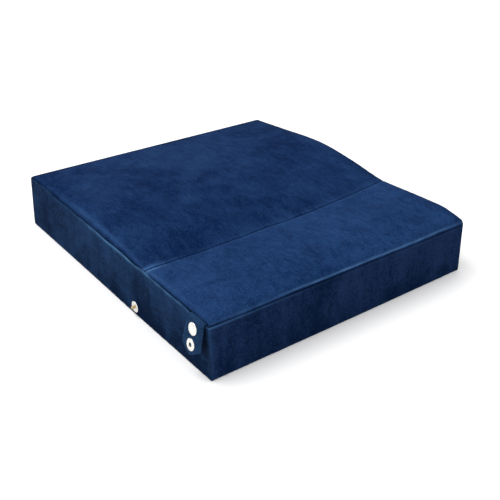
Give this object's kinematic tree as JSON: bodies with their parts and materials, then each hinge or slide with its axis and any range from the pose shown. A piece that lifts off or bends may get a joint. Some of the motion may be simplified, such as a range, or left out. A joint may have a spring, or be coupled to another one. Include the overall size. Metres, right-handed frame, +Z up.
{
  "type": "boxed foam seat mat",
  "caption": "Level boxed foam mat in navy suede: two crowned top panels meet at a cross seam, with hanging snap tabs, low side studs and a zip across the back.",
  "frame": {"origin": "centre of the mat's underside, on the surface it rests on, midway between the tips of the two tabs and between the front wall and the zip slider's bridge", "axes": "+X across the mat towards the right wall, +Y from the front wall to the back wall, +Z up"},
  "size_m": [0.4278, 0.4548, 0.088],
  "materials": {
    "foam": "matte",
    "top_suede_rear": "matte",
    "top_suede_front": "matte",
    "side_suede": "matte",
    "front_suede": "matte",
    "zip_tape": "matte",
    "zip_metal": "satin",
    "nickel": "polished",
    "brass": "satin"
  },
  "bodies": {
    "mat": {"base_foam": "foam", "rear_top_foam": "foam", "front_top_foam": "foam", "top_rear_panel": "top_suede_rear", "top_front_panel": "top_suede_front", "left_side_panel": "side_suede", "right_side_panel": "side_suede", "front_side_panel": "front_suede", "back_upper_panel": "front_suede", "back_lower_panel": "front_suede", "bottom_panel": "front_suede", "zip_end_patches": "front_suede", "zip_tape_upper": "zip_tape", "zip_tape_lower": "zip_tape", "zip_teeth_upper": "zip_metal", "zip_teeth_lower": "zip_metal", "zip_stops": "zip_metal", "left_side_stud": "nickel", "left_stud_eyelet": "brass", "right_side_stud": "nickel", "right_stud_eyelet": "brass"},
    "zip_slider": {"zip_slider": "zip_metal"},
    "zip_pull": {"zip_pull": "zip_metal"},
    "left_tab": {"left_tab_strap": "side_suede", "left_tab_cap": "nickel", "left_tab_socket": "brass", "left_tab_eyelet": "nickel", "left_tab_stud": "brass"},
    "right_tab": {"right_tab_strap": "side_suede", "right_tab_cap": "nickel", "right_tab_socket": "brass", "right_tab_eyelet": "nickel", "right_tab_stud": "brass"}
  },
  "joints": [
    {"name": "left_tab_hinge", "type": "hinge", "parent": "mat", "child": "left_tab", "pos_m": [-0.2055, -0.20795, 0.0715], "axis": [0, 1, 0], "range_deg": [0, 150]},
    {"name": "right_tab_hinge", "type": "hinge", "parent": "mat", "child": "right_tab", "pos_m": [0.2055, -0.19145, 0.0715], "axis": [0, -1, 0], "range_deg": [0, 150]},
    {"name": "zip_slide", "type": "slide", "parent": "mat", "child": "zip_slider", "axis": [-1, 0, 0], "range_m": [0, 0.322]},
    {"name": "zip_pull_swing", "type": "hinge", "parent": "zip_slider", "child": "zip_pull", "pos_m": [0.161, 0.22535, 0.036], "axis": [0, 0, -1], "range_deg": [0, 175]}
  ]
}
